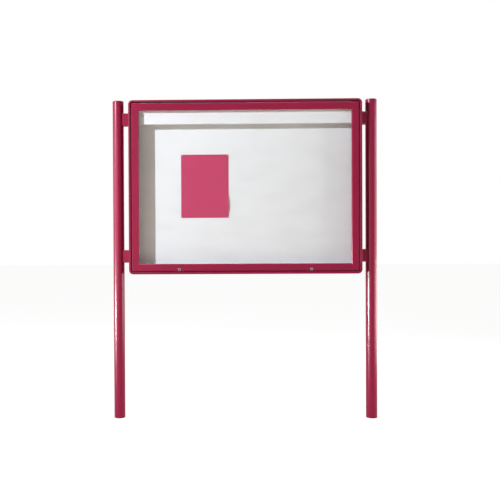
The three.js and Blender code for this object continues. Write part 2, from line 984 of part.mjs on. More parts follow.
function lockCam() {
  const lever = new THREE.Shape();
  lever.absarc(0, 0, camHalfWidth, Math.PI / 2, Math.PI * 1.5);
  lever.lineTo(camLength - camThickness, -camHalfWidth);
  lever.lineTo(camLength, camThickness - camHalfWidth);
  lever.lineTo(camLength, camHalfWidth - camThickness);
  lever.lineTo(camLength - camThickness, camHalfWidth);
  lever.closePath();
  const half = camTailWidth / 2 + seatGap;
  lever.holes.push(rectangle(-half, -half, half, half));
  return slab(lever, camFront, camThickness);
}

function lockKeeper() {
  const back = camFront - camToKeeper;
  const front = back - keeperThickness;
  const bottom = caseWall + seatGap;
  return runAlongX(
    outline([
      [front, bottom],
      [front + keeperFoot, bottom],
      [front + keeperFoot, bottom + keeperThickness],
      [back, bottom + keeperThickness],
      [back, bottom + keeperHeight],
      [front, bottom + keeperHeight],
    ]),
    -keeperWidth / 2,
    keeperWidth / 2,
  );
}

for (const side of leftAndRight) {
  const place = new THREE.Group();
  place.position.set((side.x * lockSpacing) / 2, 0, lockInset - caseHeight / 2);
  place.scale.x = -side.x;
  doorGroup.add(place);
  piece(`lock_barrel_${side.name}`, lockBarrel(), chrome, place);
  piece(`lock_core_${side.name}`, lockCore(), chrome, place);
  piece(`lock_cam_${side.name}`, lockCam(), zincSteel, place);
  const keeper = piece(`lock_keeper_${side.name}`, lockKeeper(), zincSteel, caseGroup);
  keeper.position.set((side.x * lockSpacing) / 2, 0, -caseHeight / 2);
}

// Gas struts: drawn about the pin on the door, hanging down towards the pin on the case
const strutLean = Math.atan2(strutCasePivotDepth - strutDoorPivotDepth, strutPivotDrop);
const strutClosedLength = Math.hypot(strutCasePivotDepth - strutDoorPivotDepth, strutPivotDrop);
const strutDoorPivotZ = hingeAxisZ - strutBelowHinge;

function strutCylinder() {
  const chamberTop = strutNeckLength + strutGuideLength;
  const guide = strutTubeLength - strutGuideLength;
  const hole = strutRodRadius + seatGap;
  const edge = strutTubeRadius - strutBoreRadius;
  const tube = revolve(
    [
      [0, -chamberTop],
      [strutBoreRadius, -chamberTop],
      [strutBoreRadius, -guide],
      [hole, -guide],
      [hole, -strutTubeLength],
      [strutTubeRadius - edge, -strutTubeLength],
      [strutTubeRadius, edge - strutTubeLength],
      [strutTubeRadius, -strutNeckLength - edge],
      [strutNeckRadius, -strutNeckLength],
      [strutNeckRadius, -strutEyeRadius / 2],
      [0, -strutEyeRadius / 2],
    ],
    smallRoundSteps,
  );
  const eye = cylinderAlongX(strutEyeRadius, -strutEyeWidth / 2, strutEyeWidth / 2, smallRoundSteps);
  const pinHole = cylinderAlongX(
    strutPinRadius + seatGap,
    -strutEyeWidth / 2 - cutOverrun,
    strutEyeWidth / 2 + cutOverrun,
    tinyRoundSteps,
  );
  return cut(join(tube, eye), pinHole);
}

function strutRod() {
  const innerEnd = strutClosedLength - strutRodLength;
  const foot = strutClosedLength - strutEyeRadius / 2;
  const rod = revolve(
    [
      [0, -foot],
      [strutRodRadius, -foot],
      [strutRodRadius, -innerEnd - strutPlungerLength],
      [strutPlungerRadius, -innerEnd - strutPlungerLength],
      [strutPlungerRadius, -innerEnd],
      [0, -innerEnd],
    ],
    tinyRoundSteps,
  );
  const socket = cylinderAlongX(strutEyeRadius, -strutEyeWidth / 2, strutEyeWidth / 2, smallRoundSteps);
  return join(rod, socket.translate(0, 0, -strutClosedLength));
}

// The door's strut bracket and the case's stud are drawn about their own pins, with X pointing outwards
function strutBracket() {
  const wallOuter = -strutTubeRadius - strutBracketClear;
  const wallInner = wallOuter - strutBracketWall;
  const foot = doorDepth + seatGap - strutDoorPivotDepth;
  const half = strutBracketLength / 2;
  const wall = runAlongX(
    outline([
      [foot, -half],
      [strutEyeRadius, -strutEyeRadius, strutEyeRadius / 2],
      [strutEyeRadius, strutEyeRadius, strutEyeRadius / 2],
      [foot, half],
    ]),
    wallInner,
    wallOuter,
  );
  const flange = box(
    wallOuter - strutBracketWall / 2,
    strutEyeRadius,
    foot,
    foot + strutPlateThickness,
    -half,
    half,
  );
  const inner = wallOuter - seatGap;
  const bossEnd = -strutEyeWidth / 2 - seatGap;
  const boss = cylinderAlongX(strutBossRadius, inner, bossEnd, tinyRoundSteps);
  const headStart = strutEyeWidth / 2 + seatGap;
  const headEnd = headStart + strutPinHeadWidth;
  const pin = cylinderAlongX(strutPinRadius, inner, headStart + seatGap, tinyRoundSteps);
  const head = cylinderAlongX(strutPinHeadRadius, headStart, headEnd, tinyRoundSteps);
  return join(wall, flange, boss, pin, head);
}

function strutStud() {
  const wall = strutInset - caseWall - seatGap;
  const plateHalf = strutPlateSize / 2;
  const tip = strutEyeWidth / 2 + seatGap;
  const plate = box(wall - strutPlateThickness, wall, -plateHalf, plateHalf, -plateHalf, plateHalf);
  const boss = cylinderAlongX(
    strutBossRadius,
    tip + strutPinHeadWidth,
    wall - strutPlateThickness / 2,
    tinyRoundSteps,
  );
  const stud = cylinderAlongX(strutPinRadius, tip, tip + 2 * strutPinHeadWidth, tinyRoundSteps);
  return join(plate, boss, stud);
}

for (const side of leftAndRight) {
  const plane = new THREE.Group();
  plane.scale.x = side.x;
  plane.position.x = side.x * (caseWidth / 2 - strutInset);
  caseGroup.add(plane);
  const strut = new THREE.Group();
  strut.position.set(0, strutDoorPivotDepth, strutDoorPivotZ);
  strut.rotation.x = strutLean;
  plane.add(strut);
  piece(`strut_cylinder_${side.name}`, strutCylinder(), blackSteel, strut);
  piece(`strut_rod_${side.name}`, strutRod(), zincSteel, strut);
  const bracket = piece(`strut_bracket_${side.name}`, strutBracket(), zincSteel, plane);
  bracket.position.set(0, strutDoorPivotDepth, strutDoorPivotZ);
  const stud = piece(`strut_stud_${side.name}`, strutStud(), zincSteel, plane);
  stud.position.set(0, strutCasePivotDepth, strutDoorPivotZ - strutPivotDrop);
}

// Notice sheet held on the display panel by a magnet at each corner
const noticeFront = panelFront - seatGap - noticeThickness;
const noticeGroup = new THREE.Group();
noticeGroup.position.set(noticeFromCentreX, 0, noticeFromCentreZ);
caseGroup.add(noticeGroup);

function magnet() {
  const profile = magnetProfileShares.map(([radius, height]) => [
    radius * magnetRadius,
    height * magnetHeight,
  ]);
  const geometry = revolve(profile, tinyRoundSteps);
  geometry.rotateX(Math.PI / 2);
  return geometry;
}

const noticeShape = rectangle(-noticeWidth / 2, -noticeHeight / 2, noticeWidth / 2, noticeHeight / 2);
piece("notice_sheet", slab(noticeShape, noticeFront, noticeThickness), paper, noticeGroup);
for (const side of leftAndRight) {
  for (const height of [
    { name: "top", z: 1 },
    { name: "bottom", z: -1 },
  ]) {
    const button = piece(`magnet_${height.name}_${side.name}`, magnet(), palePlastic, noticeGroup);
    button.position.x = side.x * (noticeWidth / 2 - magnetInset);
    button.position.y = noticeFront - seatGap;
    button.position.z = height.z * (noticeHeight / 2 - magnetInset);
  }
}

export default display;
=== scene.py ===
"""Outdoor notice display case: finishes, fine pieces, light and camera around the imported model."""

import json
import math

import bmesh
import bpy
from mathutils import Matrix, Vector, noise


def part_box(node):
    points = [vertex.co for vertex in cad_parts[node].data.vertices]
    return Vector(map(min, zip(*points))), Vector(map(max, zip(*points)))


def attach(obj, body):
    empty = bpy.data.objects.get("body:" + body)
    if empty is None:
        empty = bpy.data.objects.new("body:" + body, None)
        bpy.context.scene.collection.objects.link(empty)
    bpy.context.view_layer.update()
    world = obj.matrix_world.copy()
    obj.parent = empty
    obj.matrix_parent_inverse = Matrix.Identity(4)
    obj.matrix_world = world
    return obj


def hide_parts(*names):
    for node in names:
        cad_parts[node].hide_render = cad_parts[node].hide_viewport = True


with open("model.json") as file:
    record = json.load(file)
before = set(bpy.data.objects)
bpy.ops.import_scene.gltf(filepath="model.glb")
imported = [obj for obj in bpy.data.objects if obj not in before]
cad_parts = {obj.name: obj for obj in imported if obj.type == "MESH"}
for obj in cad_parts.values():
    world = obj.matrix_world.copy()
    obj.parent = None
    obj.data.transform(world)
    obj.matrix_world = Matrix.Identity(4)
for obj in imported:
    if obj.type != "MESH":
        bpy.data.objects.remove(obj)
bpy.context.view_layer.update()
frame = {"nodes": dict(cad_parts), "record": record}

nodes = frame["nodes"]
# Each side, with its sign on X
sides = {"left": -1, "right": 1}

# Camera: its place in metres, its turns in degrees, its lens in millimetres
CAMERA_PLACE = (-0.26767, -4.08524, 1.09692)
CAMERA_YAW = -1.080
CAMERA_PITCH = -0.539
CAMERA_ROLL = -0.283
CAMERA_LENS = 46.717
CAMERA_SHIFT = 0.12

# Light, in metres and degrees. An azimuth goes from the front towards the left
KEY_AZIMUTH = 52.5
KEY_ELEVATION = 21.5
KEY_TARGET = (-0.65, -0.02, 1.45)
KEY_DISTANCE = 5.0
KEY_RADIUS = 0.06
KEY_STRENGTH = 4.05
KEY_COLOUR = (0.94, 1.01, 1.09)
WORLD_LIGHT = 0.115
WORLD_COLOUR = (1.0, 0.84, 0.66, 1.0)

# Each card's width and height, its radiance, its azimuth and elevation, its distance and what it faces
CARDS = {
    "left_card": ((4.8, 2.2), 4.2, (50, 4), 2.8, (-0.8, 0, 1.1)),
    "far_left_card": ((2.4, 2.2), 2.94, (76, 4), 3.0, (-0.8, 0, 1.1)),
    "right_card": ((3.2, 2.4), 4.5, (-90, 0), 3.4, (0, 0, 1.3)),
    "back_card": ((3.2, 2.4), 3.6, (-160, 14), 3.6, (0, 0, 1.2)),
    "leg_card": ((2.6, 0.9), 5.0, (-88, 0), 2.4, (0, 0, 0.5)),
    "top_card": ((3.0, 1.2), 12.0, (0, 75), 3.0, (0, 0, 1.4)),
}
CARDS_THAT_LIGHT = ("right_card", "back_card")
CARDS_NOT_MIRRORED = ("back_card",)

# Each kicker's azimuth and elevation, its distance and the place on a leg that it faces
KICKERS = {
    "left_kicker": ((70, -6), 3.0, (-0.8, 0, 0.66)),
    "right_kicker": ((71, -5), 4.0, (0.8, 0, 0.74)),
}
KICKER_RADIANCE = 1100.0
KICKER_RADIUS = 0.15
KICKER_BEAM = 18
KICKER_BLEND = 0.4

# Floor: its size in metres, its own glow, and the share of the light on it that is added to that
FLOOR_SIZE = 60
FLOOR_GLOW = 0.945
FLOOR_SHARE = 0.16

# Colours, sRGB
PAINT = (151, 21, 63)
PAINT_WORN = (176, 62, 92)
PAINT_DUST = (196, 188, 184)
PANEL_WHITE = (240, 240, 242)
PANEL_SMUDGE = (235, 235, 236)
COVER_GREY = (186, 188, 190)
COVER_DUST = (172, 172, 170)
COVER_EDGE = (206, 207, 208)
RUBBER = (24, 20, 17)
RUBBER_BLOOM = (40, 36, 32)
CHROME = (206, 207, 209)
CHROME_DULL = (172, 172, 170)
# Nickel darkened to stand in for the dark surroundings it reflects: a painted reflection
NICKEL_DARKENED_AS_PAINTED_REFLECTION = (66, 72, 60)
NICKEL_TARNISH = (44, 48, 38)
ZINC = (176, 179, 182)
ZINC_DULL = (146, 148, 150)
ZINC_EDGE = (205, 206, 208)
BLACK_STEEL = (24, 22, 22)
BLACK_WORN = (74, 72, 70)
PAPER = (187, 29, 84)
PAPER_FIBRE = (195, 42, 94)
PAPER_SHADE = (178, 25, 76)
# Magnet plastic, greyed a little below its own pale colour as painted shade at the sheet's corners
MAGNET_GREYED_AS_PAINTED_SHADE = (206, 202, 200)
MAGNET_SCUFF = (186, 182, 180)
SPACER = (150, 142, 140)
SPACER_SCUFF = (134, 128, 124)
FLOOR = (222, 208, 190)
FLOOR_WORN = (212, 198, 180)

# The darker mottling's share of the paint's colour
MOTTLE_SHARE = 0.96

# Glass: its tint, and its tint for the light that passes straight through, both linear
GLASS_TINT = (0.985, 0.99, 0.99, 1.0)
GLASS_PASSING_TINT = (0.965, 0.97, 0.97, 1.0)
GLASS_IOR = 1.3

# Ranges that a finish spreads: most of a noise, the cosine of a turned edge, the height of a normal
MOST_NOISE = (0.3, 0.7)
SHARP_TURN = (0.8, 0.99)
LOOKING_UP = (0.6, 0.95)
EDGE_SAMPLES = 4
FINE_GRAIN = 0.0001


def linear(colour):
    """An sRGB colour, 0 to 255 a channel, as the linear value of a colour socket."""
    shares = [value / 255 for value in colour]
    values = [s / 12.92 if s <= 0.04045 else ((s + 0.055) / 1.055) ** 2.4 for s in shares]
    return (*values, 1.0)


def mix_shaders(tree, share, first, second, output):
    """Ends a tree in a mix of two shader nodes, where share is how much of the second shows."""
    both = tree.nodes.new("ShaderNodeMixShader")
    tree.links.new(share, both.inputs[0])
    tree.links.new(first.outputs[0], both.inputs[1])
    tree.links.new(second.outputs[0], both.inputs[2])
    tree.links.new(both.outputs[0], tree.nodes[output].inputs["Surface"])


def shown_rays(tree):
    """1 for rays from the camera, off gloss and through glass, and 0 for rays that bring light."""
    path = tree.nodes.new("ShaderNodeLightPath")
    shown = path.outputs["Is Camera Ray"]
    for kind in ("Is Glossy Ray", "Is Transmission Ray"):
        either = tree.nodes.new("ShaderNodeMath")
        either.operation = "MAXIMUM"
        tree.links.new(shown, either.inputs[0])
        tree.links.new(path.outputs[kind], either.inputs[1])
        shown = either.outputs[0]
    return shown


class Finish:
    """A material with one Principled shader, and the nodes that vary it over the surface."""

    def __init__(self, name, roughness, metallic=0.0):
        self.material = bpy.data.materials.new(name)
        self.material.use_nodes = True
        self.tree = self.material.node_tree
        self.shader = self.tree.nodes["Principled BSDF"]
        self.set("Roughness", roughness)
        self.set("Metallic", metallic)
        self.coordinates = self.node("ShaderNodeTexCoord").outputs["Object"]
        self.normal = None

    def node(self, kind, **settings):
        made = self.tree.nodes.new(kind)
        for name, value in settings.items():
            setattr(made, name, value)
        return made

    def link(self, output, socket):
        self.tree.links.new(output, socket)

    def set(self, socket, value):
        self.shader.inputs[socket].default_value = value

    def feed(self, output, socket):
        self.link(output, self.shader.inputs[socket])

    def noise(self, scale, detail, stretch=(1, 1, 1)):
        """Soft noise from 0 to 1, with scale cells to the metre, drawn out by stretch."""
        mapping = self.node("ShaderNodeMapping")
        mapping.inputs["Scale"].default_value = stretch
        self.link(self.coordinates, mapping.inputs["Vector"])
        texture = self.node("ShaderNodeTexNoise")
        texture.inputs["Scale"].default_value = scale
        texture.inputs["Detail"].default_value = detail
        self.link(mapping.outputs["Vector"], texture.inputs["Vector"])
        return texture.outputs["Fac"]

    def spread(self, value, low, high, within=MOST_NOISE):
        """value, with the range within carried to low to high."""
        start, end = within
        ranged = self.node("ShaderNodeMapRange")
        for name, number in (("From Min", start), ("From Max", end), ("To Min", low), ("To Max", high)):
            ranged.inputs[name].default_value = number
        self.link(value, ranged.inputs["Value"])
        return ranged.outputs["Result"]

    def patches(self, scale, detail, low=0, high=1, within=MOST_NOISE, stretch=(1, 1, 1)):
        """Patches of low to high over the surface, from a noise."""
        return self.spread(self.noise(scale, detail, stretch), low, high, within)

    def vary_roughness(self, scale, detail, low, high, stretch=(1, 1, 1)):
        self.feed(self.patches(scale, detail, low, high, stretch=stretch), "Roughness")

    def math(self, operation, first, second):
        made = self.node("ShaderNodeMath", operation=operation)
        for socket, value in zip(made.inputs, (first, second)):
            self.link(value, socket)
        return made.outputs[0]

    def mix(self, factor, first, second):
        """A colour between two, each an sRGB colour or the output of a node."""
        made = self.node("ShaderNodeMix", data_type="RGBA")
        colours = [socket for socket in made.inputs if socket.type == "RGBA"]
        for socket, colour in zip(colours, (first, second)):
            if isinstance(colour, tuple):
                socket.default_value = linear(colour)
            else:
                self.link(colour, socket)
        self.link(factor, made.inputs[0])
        return next(socket for socket in made.outputs if socket.type == "RGBA")

    def edges(self, radius):
        """1 where the surface turns sharply within radius, and 0 on flat faces."""
        bevel = self.node("ShaderNodeBevel", samples=EDGE_SAMPLES)
        bevel.inputs["Radius"].default_value = radius
        geometry = self.node("ShaderNodeNewGeometry")
        same = self.node("ShaderNodeVectorMath", operation="DOT_PRODUCT")
        self.link(bevel.outputs["Normal"], same.inputs[0])
        self.link(geometry.outputs["Normal"], same.inputs[1])
        return self.spread(same.outputs["Value"], 1, 0, within=SHARP_TURN)

    def upward(self):
        """1 on faces that look up, where dust settles."""
        geometry = self.node("ShaderNodeNewGeometry")
        split = self.node("ShaderNodeSeparateXYZ")
        self.link(geometry.outputs["Normal"], split.inputs[0])
        return self.spread(split.outputs["Z"], 0, 1, within=LOOKING_UP)

    def bump(self, height, strength, depth=FINE_GRAIN):
        """A bump of that depth in metres, on top of any made before."""
        made = self.node("ShaderNodeBump")
        made.inputs["Strength"].default_value = strength
        made.inputs["Distance"].default_value = depth
        self.link(height, made.inputs["Height"])
        if self.normal is not None:
            self.link(self.normal, made.inputs["Normal"])
        self.normal = made.outputs["Normal"]
        self.feed(self.normal, "Normal")

    def grain(self, scale, detail, strength, depth=FINE_GRAIN):
        self.bump(self.noise(scale, detail), strength, depth)


def powder_coat(name, stretch):
    """Glossy powder coat: orange peel, faint mottling, dust on what looks up and paler edges."""
    finish = Finish(name, 0.25)
    finish.set("Specular IOR Level", 0.2)
    darker = tuple(round(channel * MOTTLE_SHARE) for channel in PAINT)
    coat = finish.mix(finish.patches(9, 3, stretch=stretch), PAINT, darker)
    rubbed = finish.math("MULTIPLY", finish.edges(0.0008), finish.patches(160, 4, high=0.4))
    coat = finish.mix(rubbed, coat, PAINT_WORN)
    dust = finish.math("MULTIPLY", finish.upward(), finish.patches(28, 3, low=0.01, high=0.05))
    finish.feed(finish.mix(dust, coat, PAINT_DUST), "Base Color")
    finish.vary_roughness(34, 3, low=0.24, high=0.27)
    finish.grain(520, 1, strength=0.06)
    return finish.material


def panel_white():
    """Satin enamel on sheet steel, with faint wiped smudges."""
    finish = Finish("panel_white", 0.5)
    finish.set("Specular IOR Level", 0.08)
    smudge = finish.patches(5, 4, within=(0.42, 0.72), stretch=(1, 1, 2.2))
    finish.feed(finish.mix(smudge, PANEL_WHITE, PANEL_SMUDGE), "Base Color")
    finish.vary_roughness(13, 4, low=0.46, high=0.54, stretch=(1, 1, 3))
    finish.grain(650, 1, strength=0.05)
    return finish.material


def cover_grey():
    """Grey coated sheet with dust in streaks and bare edges."""
    finish = Finish("cover_grey", 0.5)
    streaks = finish.patches(22, 5, within=(0.4, 0.7), stretch=(1, 1, 0.12))
    coat = finish.mix(streaks, COVER_GREY, COVER_DUST)
    finish.feed(finish.mix(finish.edges(0.001), coat, COVER_EDGE), "Base Color")
    finish.vary_roughness(80, 3, low=0.42, high=0.58)
    finish.grain(700, 1, strength=0.12, depth=0.0002)
    return finish.material


def clear_glass():
    """Float glass, wiped unevenly. Shadow rays and scattered rays pass straight through it."""
    finish = Finish("clear_glass", 0.0)
    finish.set("Base Color", GLASS_TINT)
    finish.set("IOR", GLASS_IOR)
    finish.set("Transmission Weight", 1.0)
    finish.vary_roughness(7, 4, low=0, high=0.006, stretch=(1, 1, 0.5))
    finish.grain(1.6, 0, strength=0.005, depth=0.0005)
    path = finish.node("ShaderNodeLightPath")
    passing = finish.math("MAXIMUM", path.outputs["Is Shadow Ray"], path.outputs["Is Diffuse Ray"])
    through = finish.node("ShaderNodeBsdfTransparent")
    through.inputs["Color"].default_value = GLASS_PASSING_TINT
    mix_shaders(finish.tree, passing, finish.shader, through, "Material Output")
    return finish.material


def gasket_rubber():
    """Extruded rubber with a dry bloom."""
    finish = Finish("gasket_rubber", 0.75)
    finish.set("Specular IOR Level", 0.12)
    bloom = finish.patches(90, 4, high=0.8, within=(0.45, 0.75))
    finish.feed(finish.mix(bloom, RUBBER, RUBBER_BLOOM), "Base Color")
    finish.vary_roughness(240, 3, low=0.62, high=0.85)
    finish.grain(900, 2, strength=0.25, depth=0.0003)
    return finish.material


def lock_chrome():
    """Bright plating with fine scratches and duller patches."""
    finish = Finish("lock_chrome", 0.16, 1.0)
    scratches = finish.patches(900, 5, within=(0.4, 0.7), stretch=(1, 0.2, 6))
    finish.feed(finish.mix(scratches, CHROME, CHROME_DULL), "Base Color")
    finish.vary_roughness(380, 4, low=0.1, high=0.26)
    finish.bump(scratches, strength=0.05)
    return finish.material


def lock_nickel():
    """Dull nickel, darkened as a painted reflection of dark surroundings, tarnished darker in patches."""
    finish = Finish("lock_nickel", 0.4, 0.7)
    tarnish = finish.patches(600, 4, within=(0.35, 0.7))
    finish.feed(finish.mix(tarnish, NICKEL_DARKENED_AS_PAINTED_REFLECTION, NICKEL_TARNISH), "Base Color")
    finish.vary_roughness(800, 3, low=0.3, high=0.5)
    finish.grain(1600, 2, strength=0.1)
    return finish.material


def zinc_steel():
    """Zinc plated steel: cloudy spangle, fine grain, dull patches and brighter edges."""
    finish = Finish("zinc_steel", 0.35, 0.9)
    cloud = finish.patches(120, 4, within=(0.35, 0.7))
    plated = finish.mix(cloud, ZINC, ZINC_DULL)
    finish.feed(finish.mix(finish.edges(0.0008), plated, ZINC_EDGE), "Base Color")
    finish.vary_roughness(300, 3, low=0.28, high=0.5)
    finish.grain(1200, 2, strength=0.12)
    return finish.material


def black_steel():
    """Black coated steel that shows metal along its edges."""
    finish = Finish("black_steel", 0.38, 0.3)
    worn = finish.math("MULTIPLY", finish.edges(0.0007), finish.patches(260, 4, low=0.1, high=0.9))
    finish.feed(finish.mix(worn, BLACK_STEEL, BLACK_WORN), "Base Color")
    finish.vary_roughness(140, 3, low=0.3, high=0.48)
    finish.grain(1000, 1, strength=0.1)
    return finish.material


def paper():
    """Dyed card with pale fibres and slightly darker patches."""
    finish = Finish("paper", 0.72)
    finish.set("Specular IOR Level", 0.25)
    fibres = finish.patches(420, 6, within=(0.35, 0.75), stretch=(1, 1, 3))
    dyed = finish.mix(fibres, PAPER, PAPER_FIBRE)
    shade = finish.patches(11, 3, high=0.35, within=(0.4, 0.8))
    finish.feed(finish.mix(shade, dyed, PAPER_SHADE), "Base Color")
    finish.vary_roughness(300, 3, low=0.62, high=0.82)
    finish.grain(1400, 4, strength=0.2)
    return finish.material


def magnet_plastic():
    """Pale moulded plastic, greyed a little as painted shade at the sheet's corners."""
    finish = Finish("magnet_plastic", 0.32)
    finish.feed(finish.mix(finish.patches(700, 3), MAGNET_GREYED_AS_PAINTED_SHADE, MAGNET_SCUFF), "Base Color")
    finish.vary_roughness(900, 2, low=0.26, high=0.4)
    finish.grain(1500, 1, strength=0.06)
    return finish.material


def spacer_plastic():
    """Grey plastic of the thin spacers between brackets and case."""
    finish = Finish("spacer_plastic", 0.55)
    finish.feed(finish.mix(finish.patches(200, 3), SPACER, SPACER_SCUFF), "Base Color")
    finish.vary_roughness(400, 2, low=0.48, high=0.62)
    finish.grain(900, 1, strength=0.1)
    return finish.material


materials = {
    "case_paint": powder_coat("case_paint", stretch=(1, 1, 1)),
    "post_paint": powder_coat("post_paint", stretch=(1, 1, 0.15)),
    "panel_white": panel_white(),
    "cover_grey": cover_grey(),
    "clear_glass": clear_glass(),
    "gasket_rubber": gasket_rubber(),
    "lock_chrome": lock_chrome(),
    "lock_nickel": lock_nickel(),
    "zinc_steel": zinc_steel(),
    "black_steel": black_steel(),
    "paper": paper(),
    "magnet_plastic": magnet_plastic(),
    "spacer_plastic": spacer_plastic(),
}

# CAD nodes keep their shape. Their faces are joined, and EDGE_ROUND gives the rounding for their names
SMOOTH_LIMIT = math.radians(35)
WELD_DISTANCE = 0.000005
EDGE_ROUND = {
    "door_": 0.0007,
    "case_": 0.0006,
    "bracket_": 0.0008,
    "header_panel": 0.0003,
    "header_bracket": 0.0003,
    "glazing_bead": 0.0004,
    "rear_cover": 0.0006,
    "lock_": 0.00025,
    "strut_": 0.0004,
}
EDGE_SEGMENTS = 2
EDGE_LIMIT = math.radians(40)
FLAT_LIMIT = math.radians(0.5)

# The door profiles' front edges get a wider rounding, each profile along its own axis
FRONT_ROUND = 0.0026
FRONT_SEGMENTS = 4
FRONT_TOLERANCE = 0.0003
ROUND_CORNER_STEP = 0.004
STRAIGHT_SHARE = 0.999
FRONT_AXIS = {"door_rail_top": 0, "door_rail_bottom": 0, "door_stile_left": 2, "door_stile_right": 2}


def geometry_tree(name):
    """A tree of geometry nodes, with the nodes where the shape comes in and goes out."""
    tree = bpy.data.node_groups.new(name, "GeometryNodeTree")
    for way in ("INPUT", "OUTPUT"):
        tree.interface.new_socket("Geometry", in_out=way, socket_type="NodeSocketGeometry")
    return tree, tree.nodes.new("NodeGroupInput"), tree.nodes.new("NodeGroupOutput")


def welding_group():
    """Geometry nodes that join the loose faces of a node and shade them smooth."""
    tree, source, result = geometry_tree("welded")
    merge = tree.nodes.new("GeometryNodeMergeByDistance")
    merge.inputs["Distance"].default_value = WELD_DISTANCE
    smooth = tree.nodes.new("GeometryNodeSetShadeSmooth")
    tree.links.new(source.outputs[0], merge.inputs["Geometry"])
    tree.links.new(merge.outputs["Geometry"], smooth.inputs["Geometry"])
    tree.links.new(smooth.outputs["Geometry"], result.inputs[0])
    return tree


def creasing_group():
    """Geometry nodes that mark every edge sharper than the limit angle as a crease."""
    tree, source, result = geometry_tree("creased")
    angle = tree.nodes.new("GeometryNodeInputMeshEdgeAngle")
    above = tree.nodes.new("FunctionNodeCompare")
    above.data_type = "FLOAT"
    above.operation = "GREATER_THAN"
    above.inputs["B"].default_value = SMOOTH_LIMIT
    crease = tree.nodes.new("GeometryNodeSetShadeSmooth")
    crease.domain = "EDGE"
    crease.inputs["Shade Smooth"].default_value = False
    tree.links.new(angle.outputs["Unsigned Angle"], above.inputs["A"])
    tree.links.new(above.outputs["Result"], crease.inputs["Selection"])
    tree.links.new(source.outputs[0], crease.inputs["Geometry"])
    tree.links.new(crease.outputs["Geometry"], result.inputs[0])
    return tree


def front_edge_group(name, front, axis):
    """Geometry nodes that weight the bevel of the front's edges along axis and round its corners."""
    tree, source, result = geometry_tree(name)

    def result_of(operation, first, second):
        made = tree.nodes.new("ShaderNodeMath")
        made.operation = operation
        for socket, value in zip(made.inputs, (first, second)):
            if isinstance(value, float):
                socket.default_value = value
            else:
                tree.links.new(value, socket)
        return made.outputs[0]

    def parts_of(vector):
        made = tree.nodes.new("ShaderNodeSeparateXYZ")
        tree.links.new(vector, made.inputs[0])
        return made.outputs

    ends = tree.nodes.new("GeometryNodeInputMeshEdgeVertices")
    along = tree.nodes.new("ShaderNodeVectorMath")
    along.operation = "SUBTRACT"
    tree.links.new(ends.outputs["Position 1"], along.inputs[0])
    tree.links.new(ends.outputs["Position 2"], along.inputs[1])
    measured = tree.nodes.new("ShaderNodeVectorMath")
    measured.operation = "LENGTH"
    tree.links.new(along.outputs[0], measured.inputs[0])
    length = measured.outputs["Value"]
    main = result_of("ABSOLUTE", parts_of(along.outputs[0])[axis], 0.0)
    straight = result_of("GREATER_THAN", result_of("DIVIDE", main, length), STRAIGHT_SHARE)
    short = result_of("LESS_THAN", length, ROUND_CORNER_STEP)
    wanted = result_of("MAXIMUM", straight, short)
    depths = [parts_of(ends.outputs[end])["Y"] for end in ("Position 1", "Position 2")]
    deepest = result_of("MAXIMUM", *depths)
    on_front = result_of("LESS_THAN", deepest, front + FRONT_TOLERANCE)
    angle = tree.nodes.new("GeometryNodeInputMeshEdgeAngle")
    sharp = result_of("GREATER_THAN", angle.outputs["Unsigned Angle"], SMOOTH_LIMIT)
    weight = result_of("MULTIPLY", result_of("MULTIPLY", wanted, on_front), sharp)
    store = tree.nodes.new("GeometryNodeStoreNamedAttribute")
    store.data_type = "FLOAT"
    store.domain = "EDGE"
    store.inputs["Name"].default_value = "bevel_weight_edge"
    tree.links.new(source.outputs[0], store.inputs["Geometry"])
    tree.links.new(weight, store.inputs["Value"])
    tree.links.new(store.outputs["Geometry"], result.inputs[0])
    return tree


def add_group(thing, group):
    modifier = thing.modifiers.new(group.name, "NODES")
    modifier.node_group = group


def round_front(thing, axis):
    """A wider rounding along the front edges of a door profile, and none across its mitres."""
    front = min(corner[1] for corner in thing.bound_box)
    add_group(thing, front_edge_group(f"front_of_{thing.name}", front, axis))
    bevel = thing.modifiers.new("rounded_front", "BEVEL")
    bevel.width = FRONT_ROUND
    bevel.segments = FRONT_SEGMENTS
    bevel.limit_method = "WEIGHT"
    bevel.use_clamp_overlap = True


def flatten(thing):
    flat = thing.modifiers.new("flat_faces", "DECIMATE")
    flat.decimate_type = "DISSOLVE"
    flat.angle_limit = FLAT_LIMIT


def round_edges(thing, width):
    bevel = thing.modifiers.new("rounded_edges", "BEVEL")
    bevel.width = width
    bevel.segments = EDGE_SEGMENTS
    bevel.limit_method = "ANGLE"
    bevel.angle_limit = EDGE_LIMIT
    bevel.use_clamp_overlap = True


def dress(name, node, slot):
    """Gives a CAD node its slot's finish, joined faces, clean shading and, by its name, rounded edges."""
    node.material_slots[0].material = materials[slot]
    add_group(node, welded)
    width = next((size for start, size in EDGE_ROUND.items() if name.startswith(start)), 0)
    if width and "bolt" not in name:
        flatten(node)
        if name in FRONT_AXIS:
            round_front(node, FRONT_AXIS[name])
        round_edges(node, width)
    add_group(node, creased)
    weighted = node.modifiers.new("flat_shading", "WEIGHTED_NORMAL")
    weighted.keep_sharp = True


welded = welding_group()
creased = creasing_group()
slot_of = {entry["node"]: entry["material_slot"] for entry in frame["record"]["subparts"]}
for name, node in nodes.items():
    dress(name, node, slot_of[name])

# Builders of the pieces made here
FRONT = (0, -1, 0)
BACK = (0, 1, 0)
UP = (0, 0, 1)
ROUND_STEPS = 96
SMALL_STEPS = 24


